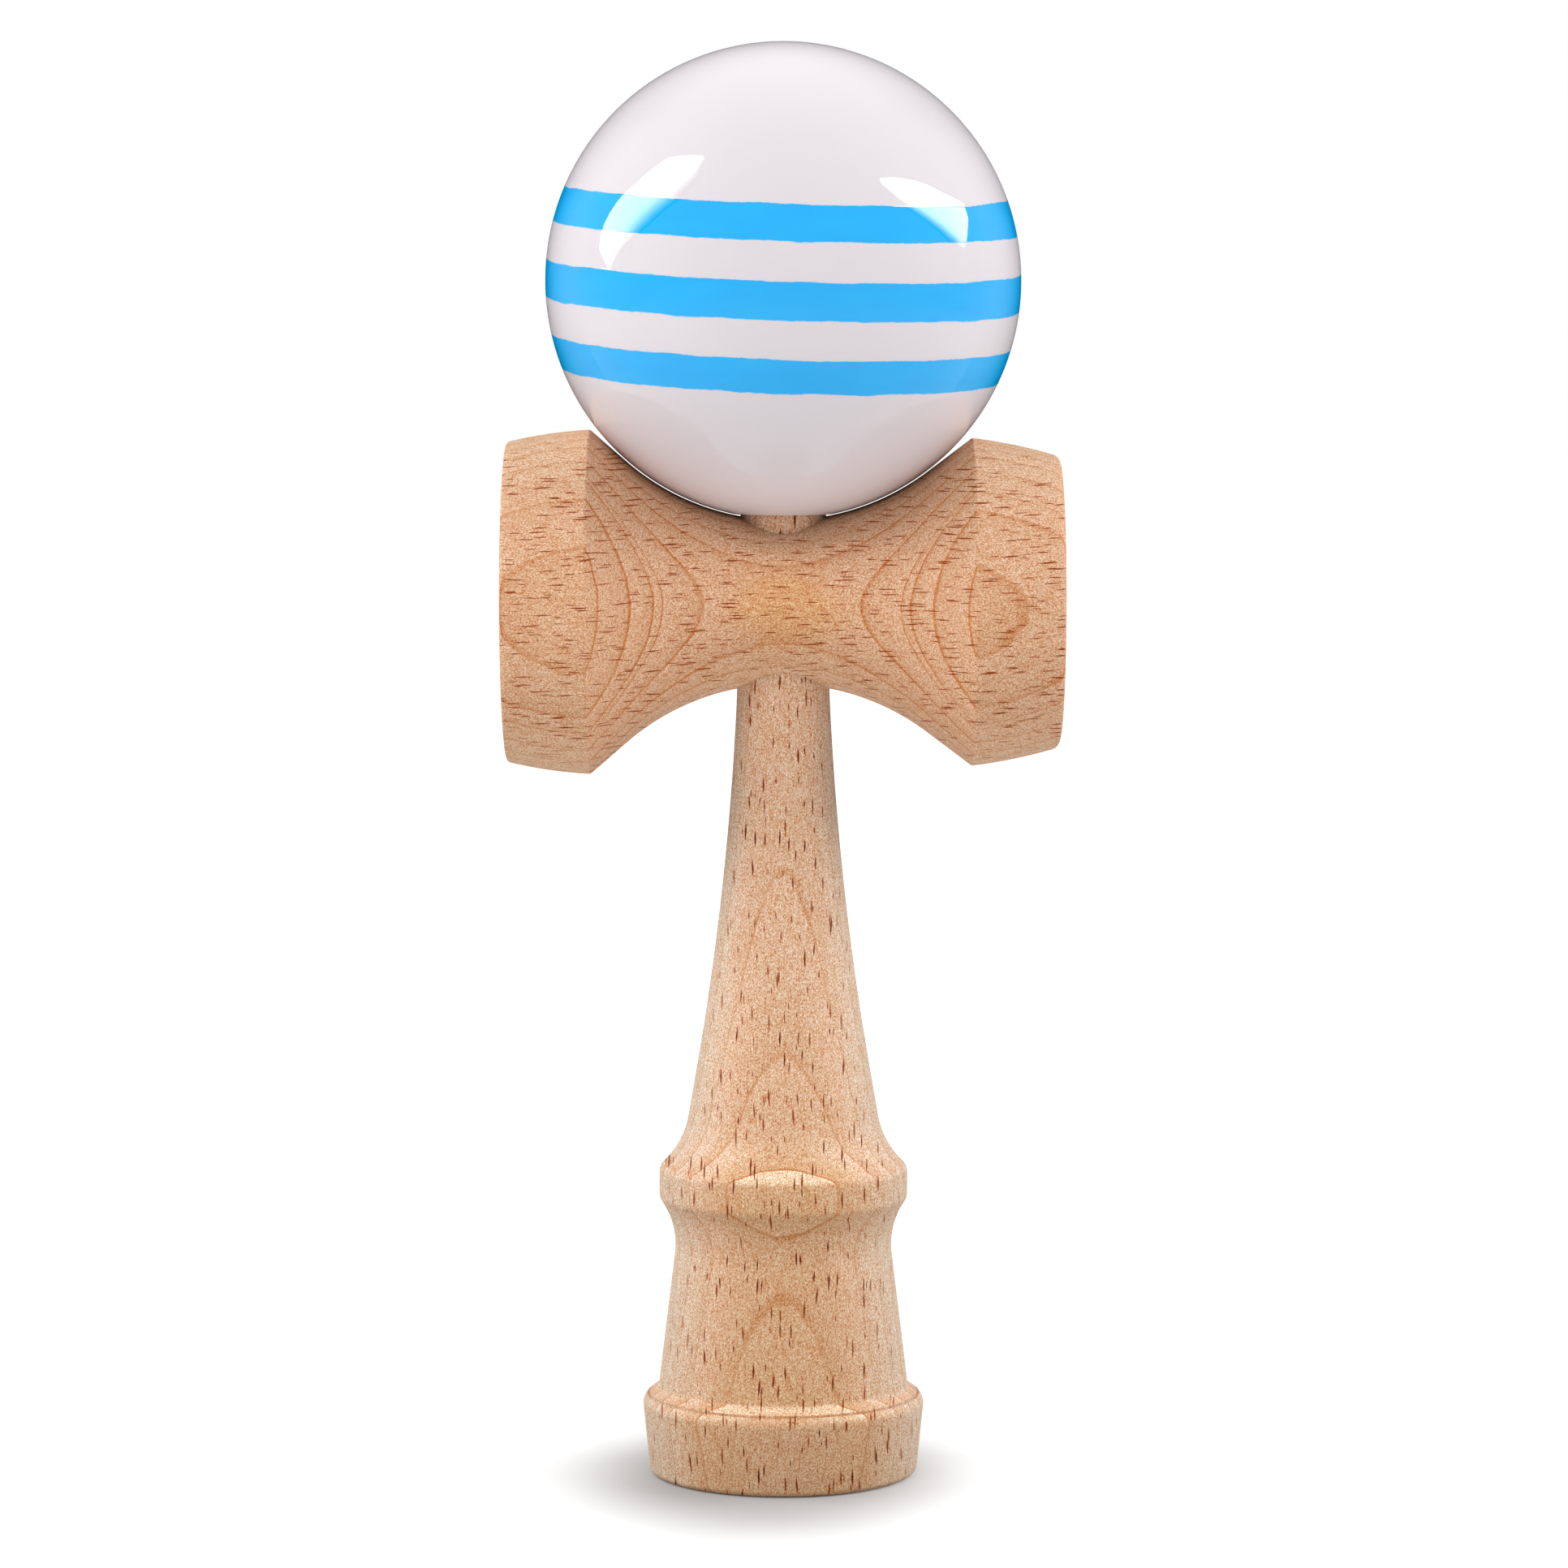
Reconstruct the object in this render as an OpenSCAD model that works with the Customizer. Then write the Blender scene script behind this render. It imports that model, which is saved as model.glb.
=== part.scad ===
// Cup and ball toy: a turned handle with a spike, a crosspiece with two cups, and a drilled ball.
// Millimetres, +Z up. The origin is the middle of the foot, on the surface that the toy stands on.
// The large cup opens towards -X, the small cup towards +X, and the cord hole is at the back, +Y.

/* [Ball] */
// Diameter of the ball
ball_d = 60; // [54:0.5:66]
// Gap between the ball and the saddle that it stands on
ball_gap = 0.1; // [0.05:0.05:0.8]
// Radial clearance between the spike, where it is widest, and the hole in the ball
spike_clearance = 0.6; // [0.3:0.05:3]
// Free length of the hole above the tip of the spike
tip_room = 6.8; // [4:0.1:8]
// Full angle of the drilled point at the end of the hole
drill_point_angle = 118; // [100:1:140]
// Width of the bevel round the mouth of the hole
spike_hole_bevel = 0.6; // [0.3:0.1:1.2]
// Diameter of the cord hole through the top of the ball
ball_cord_hole_d = 3.5; // [2.5:0.1:5]
// Width of the bevel round that cord hole
ball_cord_hole_bevel = 0.5; // [0.2:0.1:1]

/* [Crosspiece] */
// Length from the rim of the large cup to the rim of the small cup
crosspiece_length = 70; // [64:0.5:80]
// Diameter of the waist between the cups
waist_d = 20.8; // [18:0.1:24]
// How much wider the saddle's curve is than the ball's radius
saddle_relief = 0.3; // [0.2:0.1:3]
// Outward swell of the sides of both cups, at the middle of their length
side_swell = 0.25; // [0.1:0.05:0.6]
// Radius of the rounding on both ridges, where the sides meet the saddle
ridge_round = 0.5; // [0.2:0.1:2]
// Radius of the rounding on the inner edge of both rims
inner_round = 0.7; // [0.3:0.1:1]

/* [Large cup] */
// Diameter of the large cup's ridge, before it is rounded
large_ridge_d = 43.6; // [40:0.1:47]
// Diameter of the large cup's rim, before it is rounded
large_rim_d = 40.5; // [37:0.1:44]
// Depth of the large cup
large_cup_depth = 9.5; // [7:0.1:11]
// Width of the large cup's rim, as far as its inner rounding
large_lip_width = 1.4; // [1:0.1:3]
// Radius of the rounding on the outer edge of the large cup's rim
large_lip_round = 0.6; // [0.3:0.1:1]
// Slope of the saddle's flank on this side, measured from the crosspiece's axis
large_flank_angle = 41; // [36:0.5:46]

/* [Small cup] */
// Diameter of the small cup's ridge, before it is rounded
small_ridge_d = 41.5; // [38:0.1:45]
// Diameter of the small cup's rim, before it is rounded
small_rim_d = 36.8; // [33:0.1:40]
// Depth of the small cup
small_cup_depth = 8.5; // [6.5:0.1:10]
// Width of the small cup's rim, as far as its inner rounding
small_lip_width = 1.8; // [1.4:0.1:3]
// Radius of the rounding on the outer edge of the small cup's rim
small_lip_round = 1.3; // [0.3:0.1:1.4]
// Slope of the saddle's flank on this side, measured from the crosspiece's axis
small_flank_angle = 37; // [34:0.5:44]

/* [Seat and cord hole] */
// Diameter of the handle's tapered seat, at the crosspiece's axis
seat_d = 11.3; // [10:0.05:12.5]
// Taper of the seat: one millimetre of diameter in this many millimetres of length
seat_taper = 25; // [15:1:50]
// How far the seat runs past the waist, above and below
seat_margin = 1.6; // [1.2:0.1:2.5]
// Radial clearance between the seat and the crosspiece's bore
seat_clearance = 0.05; // [0.02:0.01:0.1]
// Diameter of the cord hole in the crosspiece
cord_hole_d = 3; // [2:0.1:4]
// How much wider the hole across the seat is, so that a cord finds its way through behind it
seat_hole_extra = 0.5; // [0.2:0.1:1]
// Width of the bevel round the crosspiece's cord hole
cord_hole_bevel = 0.4; // [0.2:0.05:0.8]

/* [Spike] */
// Length of the spike, from the top of the waist to its tip
spike_length = 39.6; // [36:0.1:42]
// Diameter of the spike where its rounded tip begins
tip_d = 6.6; // [5:0.1:8]
// Height of the tip's dome
tip_dome = 1.1; // [0.6:0.1:2]
// Radius of the rounding on the tip
tip_round = 2.6; // [1:0.1:3]

/* [Grip] */
// Length from the seat down to where the grip's upper and lower slopes would meet
upper_grip_length = 24.1; // [20:0.1:30]
// Diameter at which those slopes would meet
grip_waist_d = 14.04; // [13:0.02:16]
// Length from there down to where the lower slope would meet the flare of the collar
lower_grip_length = 32.8; // [26:0.1:40]
// Radius of the long hollow curve of the grip
grip_curve = 375; // [200:5:420]
// Diameter at which the lower slope would meet the flare
flare_d = 25.4; // [22:0.1:28]
// Length from there down to the upper edge of the collar
flare_length = 3.25; // [2.5:0.05:5]
// Radius of the hollow curve between grip and collar
flare_curve = 11; // [5:0.1:12]

/* [Collar] */
// Diameter of the collar
collar_d = 31.7; // [29:0.1:34]
// Width of the collar, from its lower to its upper edge, before they are rounded
collar_width = 3.8; // [2.5:0.1:6]
// Radius of the rounding on both edges of the collar
collar_round = 1.5; // [0.5:0.1:1.8]
// Length from the collar's lower edge down to where the slopes of the neck would meet
neck_length = 3.8; // [2.5:0.1:6]
// Diameter at which those slopes would meet
neck_d = 26.9; // [24:0.1:29]
// Radius of the hollow curve of the neck
neck_curve = 10.3; // [4:0.1:11]

/* [Foot] */
// Length from the neck down to the step above the base ring
body_length = 20.55; // [16:0.05:26]
// Diameter of the handle where it rises out of the base ring
step_d = 31.9; // [30:0.1:34]
// Radius of the hollow curve at that step
step_round = 1; // [0.5:0.1:2]
// Rise from the fine line above the base ring to the step
step_rise = 1.05; // [0.5:0.05:2]
// Diameter of that line, on its inner side
line_d = 34.2; // [32:0.1:37]
// Width of the line
line_width = 0.32; // [0.2:0.02:0.6]
// Depth of the line below its outer edge
line_depth = 0.2; // [0.1:0.05:0.4]
// How much higher the inner edge of the line is
line_step = 0.25; // [0.1:0.05:0.5]
// Rise from the shoulder of the base ring to the line
line_rise = 0.85; // [0.5:0.05:1.5]
// Height of the base ring, up to its shoulder before that is rounded
ring_height = 9.3; // [7:0.1:12]
// Diameter of the base ring at its shoulder, before it is rounded
ring_d = 36; // [34:0.1:40]
// Radius of the rounding on the shoulder
ring_round = 1.6; // [0.8:0.1:2.4]
// Diameter of the foot where it stands, before it is rounded
foot_d = 34.1; // [31:0.1:37]
// Depth of the cup in the foot
foot_cup_depth = 7.5; // [5:0.1:9]
// Width of the foot's rim, as far as its inner rounding
foot_lip_width = 2; // [1.5:0.1:3]
// Radius of the rounding on both edges of the foot's rim
foot_round = 0.9; // [0.4:0.1:1]

/* [Hidden] */
$fn = 96;

beech = [0.84, 0.68, 0.53];
white_lacquer = [0.93, 0.92, 0.91];

// Steps in a short and in a long curve of an outline
arc_steps = 10;
long_arc_steps = 24;
// How far a cut passes through the face that it opens
cut_through = 1;

ball_r = ball_d / 2;
waist_r = waist_d / 2;

// Half the length of the seat, and its radius at a distance above the crosspiece's axis
seat_reach = waist_r + seat_margin;
function seat_r(rise) = (seat_d - rise / seat_taper) / 2;

// Heights above the foot, stacked from below
line_height = ring_height + line_rise;
step_height = line_height + step_rise;
neck_height = step_height + body_length;
collar_bottom = neck_height + neck_length;
collar_top = collar_bottom + collar_width;
flare_height = collar_top + flare_length;
grip_waist_height = flare_height + lower_grip_length;
seat_bottom = grip_waist_height + upper_grip_length;
crosspiece_height = seat_bottom + seat_reach;
handle_length = crosspiece_height + waist_r + spike_length;
ball_bottom = crosspiece_height + waist_r + ball_gap;
ball_centre = ball_bottom + ball_r;

spike_hole_r = seat_r(seat_reach) + spike_clearance;
spike_hole_depth = handle_length + tip_room - ball_bottom;

saddle_curve = ball_r + saddle_relief;
saddle_centre = waist_r + saddle_curve;

function unit(v) = v / norm(v);
function point(corner) = [corner[0], corner[1]];
function last(list) = list[len(list) - 1];
function all_but_first(list) = [for (i = [1 : len(list) - 1]) list[i]];
function all_but_last(list) = [for (i = [0 : len(list) - 2]) list[i]];

// Points of a circle about a centre, from one angle to another, with both ends
function arc(centre, r, from, to, steps) =
    [for (i = [0 : steps]) let (t = from + (to - from) * i / steps) centre + r * [cos(t), sin(t)]];

// Points between two corners on a line that swells out to its left by a given height
function swollen_line(a, b, swell, steps) =
    let (across = unit([a[1] - b[1], b[0] - a[0]]))
    [for (i = [1 : steps - 1]) let (t = i / steps) a + (b - a) * t + across * swell * 4 * t * (1 - t)];

// Half the turn between the two edges that meet at corner i of an open outline
function half_turn(corners, i) =
    let (u = unit(point(corners[i]) - point(corners[i - 1])))
    let (v = unit(point(corners[i + 1]) - point(corners[i])))
    acos(max(-1, min(1, u * v))) / 2;

// Length of edge that the rounding of corner i asks for; the ends, and plain points, ask for none
function wanted(corners, i) =
    i <= 0 || i >= len(corners) - 1 || len(corners[i]) < 3 ? 0 : corners[i][2] * tan(half_turn(corners, i));

// Share of that length that the edge between corners i and j has room for
function room(corners, i, j) =
    let (need = wanted(corners, i) + wanted(corners, j))
    need == 0 ? 1 : min(1, norm(point(corners[j]) - point(corners[i])) / need);

// Arc that rounds corner i and touches the two edges beside it, limited by their length
function rounded_corner(corners, i) =
    let (p = point(corners[i]))
    let (u = unit(p - point(corners[i - 1])))
    let (v = unit(point(corners[i + 1]) - p))
    let (half = half_turn(corners, i))
    let (r = corners[i][2] * min(room(corners, i - 1, i), room(corners, i, i + 1)))
    let (side = sign(u[0] * v[1] - u[1] * v[0]))
    let (start = p - u * r * tan(half))
    let (centre = start + side * r * [-u[1], u[0]])
    let (from = atan2(start[1] - centre[1], start[0] - centre[0]))
    arc(centre, r, from, from + side * 2 * half, arc_steps);

// Open outline through corners [x, y, radius], each rounded by its radius, and plain points [x, y]
function rounded(corners) =
    [for (i = [0 : len(corners) - 1])
        each (wanted(corners, i) == 0 ? [point(corners[i])] : rounded_corner(corners, i))];

// Outline [radius, depth] of a round cup, from its middle to the flat of its rim at inner radius r.
// The cup is part of a sphere, and the rounding of the rim touches both the sphere and the flat.
function cup_outline(r, depth, edge) =
    let (reach = (depth * depth + r * r) / (2 * depth))
    let (spread = atan2(r, reach - depth))
    concat(
        arc([0, depth - reach + edge], reach - edge, 90, 90 - spread, long_arc_steps),
        all_but_first(arc([r, edge], edge, -90 - spread, -90, arc_steps))
    );

// Outline [radius, distance along the axis] of one end of the crosspiece, from its cup to the saddle
function crosspiece_end(rim_d, ridge_d, cup_depth, lip_width, lip_round, flank_angle) =
    let (rim_at = crosspiece_length / 2)
    let (cup = cup_outline(rim_d / 2 - lip_width, cup_depth, inner_round))
    let (inside = [for (p = cup) [p[0], rim_at - p[1]]])
    let (flank = [saddle_centre - saddle_curve * cos(flank_angle), saddle_curve * sin(flank_angle)])
    let (rim = [rim_d / 2, rim_at])
    let (ridge = [ridge_d / 2, flank[1] + (ridge_d / 2 - flank[0]) / tan(flank_angle)])
    let (outside = concat(
        [last(inside)],
        [concat(rim, lip_round)],
        swollen_line(rim, ridge, side_swell, arc_steps),
        [concat(ridge, ridge_round)],
        [flank]
    ))
    concat(inside, all_but_last(all_but_first(rounded(outside))));

module handle_outline() {
    cup = cup_outline(foot_d / 2 - foot_lip_width, foot_cup_depth, foot_round);
    outside = rounded([
        last(cup),
        [foot_d / 2, 0, foot_round],
        [ring_d / 2, ring_height, ring_round],
        [line_d / 2 + line_width, line_height],
        [line_d / 2, line_height - line_depth],
        [line_d / 2, line_height + line_step],
        [step_d / 2, step_height, step_round],
        [neck_d / 2, neck_height, neck_curve],
        [collar_d / 2, collar_bottom, collar_round],
        [collar_d / 2, collar_top, collar_round],
        [flare_d / 2, flare_height, flare_curve],
        [grip_waist_d / 2, grip_waist_height, grip_curve],
        [seat_r(-seat_reach), seat_bottom],
        [seat_r(seat_reach), crosspiece_height + seat_reach],
        [tip_d / 2, handle_length - tip_dome, tip_round],
        [0, handle_length]
    ]);
    polygon(concat(cup, all_but_first(outside)));
}

module crosspiece_outline() {
    small = crosspiece_end(
        small_rim_d, small_ridge_d, small_cup_depth, small_lip_width, small_lip_round, small_flank_angle
    );
    large = crosspiece_end(
        large_rim_d, large_ridge_d, large_cup_depth, large_lip_width, large_lip_round, large_flank_angle
    );
    saddle = arc(
        [saddle_centre, 0], saddle_curve, 180 - small_flank_angle, 180 + large_flank_angle, long_arc_steps
    );
    mirrored = [for (i = [len(large) - 1 : -1 : 0]) [large[i][0], -large[i][1]]];
    polygon(concat(small, saddle, mirrored));
}

module handle() {
    color(beech)
    difference() {
        rotate_extrude() handle_outline();
        translate([0, 0, crosspiece_height])
        rotate([90, 0, 0])
        cylinder(h = seat_d + 2 * cut_through, d = cord_hole_d + seat_hole_extra, center = true);
    }
}

module crosspiece() {
    bore_reach = seat_reach + cut_through;
    cord_r = cord_hole_d / 2;
    color(beech)
    translate([0, 0, crosspiece_height])
    difference() {
        rotate([0, 90, 0]) rotate_extrude() crosspiece_outline();
        translate([0, 0, -bore_reach])
        cylinder(
            h = 2 * bore_reach,
            r1 = seat_r(-bore_reach) + seat_clearance,
            r2 = seat_r(bore_reach) + seat_clearance
        );
        rotate([-90, 0, 0]) {
            cylinder(h = waist_r + cut_through, r = cord_r);
            translate([0, 0, waist_r - cord_hole_bevel])
            cylinder(
                h = cord_hole_bevel + cut_through,
                r1 = cord_r,
                r2 = cord_r + cord_hole_bevel + cut_through
            );
        }
    }
}

module ball() {
    cord_r = ball_cord_hole_d / 2;
    mouth_height = ball_r - sqrt(ball_r * ball_r - spike_hole_r * spike_hole_r);
    cord_mouth_height = sqrt(ball_r * ball_r - cord_r * cord_r);
    color(white_lacquer)
    translate([0, 0, ball_centre])
    difference() {
        sphere(r = ball_r);
        translate([0, 0, -ball_r]) {
            translate([0, 0, -cut_through])
            cylinder(h = spike_hole_depth + cut_through, r = spike_hole_r);
            translate([0, 0, spike_hole_depth])
            cylinder(h = spike_hole_r / tan(drill_point_angle / 2), r1 = spike_hole_r, r2 = 0);
            translate([0, 0, mouth_height - cut_through])
            cylinder(
                h = spike_hole_bevel + cut_through,
                r1 = spike_hole_r + spike_hole_bevel + cut_through,
                r2 = spike_hole_r
            );
        }
        cylinder(h = ball_r + cut_through, r = cord_r);
        translate([0, 0, cord_mouth_height - ball_cord_hole_bevel])
        cylinder(
            h = ball_cord_hole_bevel + cut_through,
            r1 = cord_r,
            r2 = cord_r + ball_cord_hole_bevel + cut_through
        );
    }
}

handle();
crosspiece();
ball();
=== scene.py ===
import math

import bpy
import numpy as np
from mathutils import Matrix, Vector


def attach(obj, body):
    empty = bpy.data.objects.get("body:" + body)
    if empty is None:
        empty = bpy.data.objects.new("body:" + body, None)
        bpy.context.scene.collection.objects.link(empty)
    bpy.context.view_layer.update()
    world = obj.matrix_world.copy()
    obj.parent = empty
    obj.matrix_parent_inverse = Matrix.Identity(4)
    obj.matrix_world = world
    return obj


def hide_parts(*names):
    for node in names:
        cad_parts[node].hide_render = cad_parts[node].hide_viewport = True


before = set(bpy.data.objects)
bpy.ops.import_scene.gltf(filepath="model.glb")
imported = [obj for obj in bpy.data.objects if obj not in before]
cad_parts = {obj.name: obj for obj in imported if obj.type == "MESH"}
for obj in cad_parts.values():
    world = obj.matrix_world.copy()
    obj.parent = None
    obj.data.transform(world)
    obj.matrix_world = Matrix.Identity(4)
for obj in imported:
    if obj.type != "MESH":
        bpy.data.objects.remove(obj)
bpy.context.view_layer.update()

MM = 0.001
PER_METRE = 1000
IN_MM = (PER_METRE, PER_METRE, PER_METRE)

# Sizes, in millimetres and radians, as in the part's source

BALL_D = 60
BALL_GAP = 0.1
SPIKE_CLEARANCE = 0.6
TIP_ROOM = 6.8
DRILL_POINT = math.radians(118)
SPIKE_HOLE_BEVEL = 0.6
BALL_CORD_HOLE_D = 3.5
BALL_CORD_HOLE_BEVEL = 0.5

CROSSPIECE_LENGTH = 70
WAIST_D = 20.8
SADDLE_RELIEF = 0.3
SIDE_SWELL = 0.25
RIDGE_ROUND = 0.5
INNER_ROUND = 0.7
LARGE_CUP = dict(
    ridge_d=43.6, rim_d=40.5, depth=9.5, lip_width=1.4, lip_round=0.6, flank=math.radians(41),
)
SMALL_CUP = dict(
    ridge_d=41.5, rim_d=36.8, depth=8.5, lip_width=1.8, lip_round=1.3, flank=math.radians(37),
)

SEAT_D = 11.3
SEAT_TAPER = 25
SEAT_MARGIN = 1.6
SEAT_CLEARANCE = 0.05
CORD_HOLE_D = 3
SEAT_HOLE_D = 3.5
CORD_HOLE_BEVEL = 0.4

FOOT = dict(d=34.1, cup_depth=7.5, lip_width=2, edge=0.9)
RING = dict(d=36, height=9.3, edge=1.6)
LINE = dict(d=34.2, rise=0.85, width=0.32, depth=0.2, step=0.25)
STEP = dict(d=31.9, above_line=1.05, curve=1)
NECK = dict(d=26.9, above_step=20.55, curve=10.3)
COLLAR = dict(d=31.7, above_neck=3.8, width=3.8, edge=1.5)
FLARE = dict(d=25.4, above_collar=3.25, curve=11)
GRIP = dict(d=14.04, above_flare=32.8, below_seat=24.1, curve=375)
SPIKE = dict(length=39.6, tip_d=6.6, dome=1.1, edge=2.6)

BALL_R = BALL_D / 2
WAIST_R = WAIST_D / 2
SADDLE_R = BALL_R + SADDLE_RELIEF
CORD_HOLE_R = CORD_HOLE_D / 2
SEAT_REACH = WAIST_R + SEAT_MARGIN
LINE_Z = RING["height"] + LINE["rise"]
STEP_Z = LINE_Z + STEP["above_line"]
NECK_Z = STEP_Z + NECK["above_step"]
COLLAR_Z = NECK_Z + COLLAR["above_neck"]
COLLAR_TOP_Z = COLLAR_Z + COLLAR["width"]
FLARE_Z = COLLAR_TOP_Z + FLARE["above_collar"]
GRIP_Z = FLARE_Z + GRIP["above_flare"]
SEAT_Z = GRIP_Z + GRIP["below_seat"]
CROSSPIECE_Z = SEAT_Z + SEAT_REACH
TIP_Z = CROSSPIECE_Z + WAIST_R + SPIKE["length"]
BALL_BOTTOM_Z = CROSSPIECE_Z + WAIST_R + BALL_GAP
BALL_Z = BALL_BOTTOM_Z + BALL_R


def seat_r(rise):
    """Radius of the tapered seat at a height above the crosspiece's axis."""
    return (SEAT_D - rise / SEAT_TAPER) / 2


SPIKE_HOLE_R = seat_r(SEAT_REACH) + SPIKE_CLEARANCE
SPIKE_HOLE_DEPTH = TIP_Z + TIP_ROOM - BALL_BOTTOM_Z

# Outlines of the turned pieces, in millimetres

ARC_SPACING = 0.3
FEWEST_ARC_STEPS = 8
SIDE_STEPS = 10
SHORTEST_EDGE = 1e-9

# Roundings of the drilled edges in the ball
SPIKE_HOLE_ROUND = 0.5
BALL_CORD_HOLE_ROUND = 0.3


def arc(centre, radius, start, end):
    """Points centre + radius (cos t, sin t), with t running evenly from start to end, about ARC_SPACING
    apart."""
    steps = max(FEWEST_ARC_STEPS, math.ceil(abs(end - start) * radius / ARC_SPACING))
    t = np.linspace(start, end, steps + 1)
    return np.stack([centre[0] + radius * np.cos(t), centre[1] + radius * np.sin(t)], 1)


def unit(v):
    """v divided by its length."""
    return v / np.linalg.norm(v)


def rounded(corners):
    """Open outline through corners [r, h, rounding]. At a rounded corner an arc touches both edges, at the
    distance rounding * tan(half the turn) from the corner, and is smaller where the edges are too short
    for it."""
    points = [np.array(c[:2], float) for c in corners]
    edges = [b - a for a, b in zip(points, points[1:])]
    halves, wanted = [0.0] * len(points), [0.0] * len(points)
    for i in range(1, len(points) - 1):
        halves[i] = math.acos(np.clip(unit(edges[i - 1]) @ unit(edges[i]), -1, 1)) / 2
        if len(corners[i]) > 2:
            wanted[i] = corners[i][2] * math.tan(halves[i])
    asked = [max(a + b, SHORTEST_EDGE) for a, b in zip(wanted, wanted[1:])]
    room = [min(1.0, np.linalg.norm(edge) / length) for edge, length in zip(edges, asked)]
    outline = []
    for i, p in enumerate(points):
        if wanted[i] == 0:
            outline.append(p[None])
            continue
        u, v = unit(edges[i - 1]), unit(edges[i])
        radius = corners[i][2] * min(room[i - 1], room[i])
        side = math.copysign(1, u[0] * v[1] - u[1] * v[0])
        start = p - u * radius * math.tan(halves[i])
        centre = start + side * radius * np.array([-u[1], u[0]])
        begin = math.atan2(*(start - centre)[::-1])
        outline.append(arc(centre, radius, begin, begin + side * 2 * halves[i]))
    return np.concatenate(outline)


def cup(radius, depth, edge):
    """Outline [r, depth] of a cup that is part of a sphere, from its middle to the flat of its rim. The
    rounding of the rim is an arc that touches both the sphere and the flat."""
    reach = (depth**2 + radius**2) / (2 * depth)
    spread = math.atan2(radius, reach - depth)
    down = -math.pi / 2
    return np.concatenate([
        arc((0, depth - reach + edge), reach - edge, math.pi / 2, math.pi / 2 - spread),
        arc((radius, edge), edge, down - spread, down)[1:],
    ])


def crosspiece_end(ridge_d, rim_d, depth, lip_width, lip_round, flank):
    """Outline [r, distance along the axis] of one end of the crosspiece, from its cup, over the rim and
    along the barrelled side, to the end of the saddle's arc. The side is a chord plus a parabola of height
    SIDE_SWELL."""
    rim_at = CROSSPIECE_LENGTH / 2
    inside = cup(rim_d / 2 - lip_width, depth, INNER_ROUND) * [1, -1] + [0, rim_at]
    saddle_end = np.array([WAIST_R + SADDLE_R - SADDLE_R * math.cos(flank), SADDLE_R * math.sin(flank)])
    rim = np.array([rim_d / 2, rim_at])
    ridge = np.array([ridge_d / 2, saddle_end[1] + (ridge_d / 2 - saddle_end[0]) / math.tan(flank)])
    t = np.linspace(0, 1, SIDE_STEPS + 1)[1:-1, None]
    outward = unit(np.array([rim[1] - ridge[1], ridge[0] - rim[0]]))
    side = rim + (ridge - rim) * t + outward * SIDE_SWELL * 4 * t * (1 - t)
    outside = rounded([inside[-1], [*rim, lip_round], *side, [*ridge, RIDGE_ROUND], saddle_end])
    return np.concatenate([inside, outside[1:]])


def crosspiece_outline():
    """Outline [r, distance along the axis] of the crosspiece, from the middle of the small cup to that of
    the large one, with the saddle's arc between the two ends."""
    small, large = crosspiece_end(**SMALL_CUP), crosspiece_end(**LARGE_CUP)
    start, end = math.pi - SMALL_CUP["flank"], math.pi + LARGE_CUP["flank"]
    saddle = arc((WAIST_R + SADDLE_R, 0), SADDLE_R, start, end)
    return np.concatenate([small[:-1], saddle, (large * [1, -1])[-2::-1]])


def handle_outline():
    """Outline [r, z] of the handle, from the middle of the cup in its foot to the tip of its spike."""
    inside = cup(FOOT["d"] / 2 - FOOT["lip_width"], FOOT["cup_depth"], FOOT["edge"])
    outside = rounded([
        inside[-1],
        [FOOT["d"] / 2, 0, FOOT["edge"]],
        [RING["d"] / 2, RING["height"], RING["edge"]],
        [LINE["d"] / 2 + LINE["width"], LINE_Z],
        [LINE["d"] / 2, LINE_Z - LINE["depth"]],
        [LINE["d"] / 2, LINE_Z + LINE["step"]],
        [STEP["d"] / 2, STEP_Z, STEP["curve"]],
        [NECK["d"] / 2, NECK_Z, NECK["curve"]],
        [COLLAR["d"] / 2, COLLAR_Z, COLLAR["edge"]],
        [COLLAR["d"] / 2, COLLAR_TOP_Z, COLLAR["edge"]],
        [FLARE["d"] / 2, FLARE_Z, FLARE["curve"]],
        [GRIP["d"] / 2, GRIP_Z, GRIP["curve"]],
        [seat_r(-SEAT_REACH), SEAT_Z],
        [seat_r(SEAT_REACH), CROSSPIECE_Z + SEAT_REACH],
        [SPIKE["tip_d"] / 2, TIP_Z - SPIKE["dome"], SPIKE["edge"]],
        [0, TIP_Z],
    ])
    return np.concatenate([inside, outside[1:]])


def ball_outlines():
    """Outlines [r, z] of the ball, which follow each other in a closed loop: the sphere from the bevel of
    the spike's hole round to that of the cord hole, and the drilled way back through the middle."""
    cord_r = BALL_CORD_HOLE_D / 2
    mouth_r = SPIKE_HOLE_R + SPIKE_HOLE_BEVEL / 2
    cord_mouth_r = cord_r + BALL_CORD_HOLE_BEVEL / 2
    low, high = math.acos(mouth_r / BALL_R), math.acos(cord_mouth_r / BALL_R)
    outside = arc((0, BALL_Z), BALL_R, -low, high)
    hole_end = BALL_BOTTOM_Z + SPIKE_HOLE_DEPTH
    cone_end = hole_end + (SPIKE_HOLE_R - cord_r) / math.tan(DRILL_POINT / 2)
    inside = rounded([
        outside[-1],
        [cord_r, outside[-1][1] - BALL_CORD_HOLE_BEVEL, BALL_CORD_HOLE_ROUND],
        [cord_r, cone_end],
        [SPIKE_HOLE_R, hole_end],
        [SPIKE_HOLE_R, outside[0][1] + SPIKE_HOLE_BEVEL, SPIKE_HOLE_ROUND],
        outside[0],
    ])
    return outside, inside


# Surfaces of the pieces

# Edges that turn by more than this aren't shaded smoothly
SHARP = math.radians(32)
# The order of a turned point's numbers, two across the axis and one along it, for each axis
AXIS_ORDER = {"x": [2, 0, 1], "y": [1, 2, 0], "z": [0, 1, 2]}


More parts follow.
